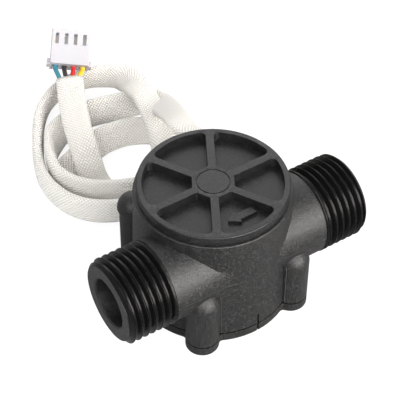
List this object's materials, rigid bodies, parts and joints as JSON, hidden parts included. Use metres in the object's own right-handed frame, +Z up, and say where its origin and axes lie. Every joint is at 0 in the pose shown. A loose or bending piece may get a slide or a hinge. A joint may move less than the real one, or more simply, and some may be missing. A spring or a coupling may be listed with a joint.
{
  "type": "water flow sensor",
  "caption": "Plastic inline water flow sensor: a threaded pipe through a round lidded chamber with an impeller, and a sleeved lead with a plug.",
  "frame": {"origin": "drum axis at the underside of the bottom cover", "axes": "+Z up along the drum's axis towards the lid, +X along the pipe towards the inlet, +Y towards the cable outlet"},
  "size_m": [0.066, 0.1089, 0.0344],
  "materials": {
    "moulding": "fine grain, satin",
    "lid": "matte",
    "seal": "matte",
    "steel": "satin",
    "impeller_plastic": "satin",
    "bush_plastic": "polished",
    "washer_plastic": "polished",
    "ferrite": "matte",
    "board": "solder resist",
    "component": "moulded",
    "capacitor_ceramic": "fired",
    "grommet_rubber": "matte",
    "sleeve_braid": "braided",
    "connector_plastic": "smooth",
    "contact_metal": "tin plated",
    "lead_yellow": "smooth insulation",
    "lead_red": "smooth insulation",
    "lead_black": "smooth insulation",
    "lead_teal": "smooth insulation"
  },
  "bodies": {
    "housing": {"body": "moulding", "top_cover": "lid", "bottom_cover": "moulding", "cover_seal": "seal", "shaft": "steel", "lower_thrust_washer": "washer_plastic", "upper_thrust_washer": "washer_plastic", "temperature_probe": "steel", "probe_seal": "seal", "sensor_board": "board", "hall_element": "component", "board_resistor": "component", "board_capacitor": "capacitor_ceramic", "cable_grommet": "grommet_rubber", "sleeve": "sleeve_braid", "connector_housing": "connector_plastic", "cover_screw_front_left": "steel", "cover_screw_front_right": "steel", "cover_screw_rear_left": "steel", "cover_screw_rear_right": "steel", "lead_yellow": "lead_yellow", "lead_red": "lead_red", "lead_black": "lead_black", "lead_teal": "lead_teal", "terminal_yellow": "contact_metal", "terminal_red": "contact_metal", "terminal_black": "contact_metal", "terminal_teal": "contact_metal"},
    "rotor": {"impeller": "impeller_plastic", "impeller_bush": "bush_plastic", "magnet_ring": "ferrite"}
  },
  "joints": [
    {"name": "impeller_spin", "type": "hinge", "parent": "housing", "child": "rotor", "pos_m": [0, 0, 0.0159], "axis": [0, 0, 1], "continuous": true}
  ]
}
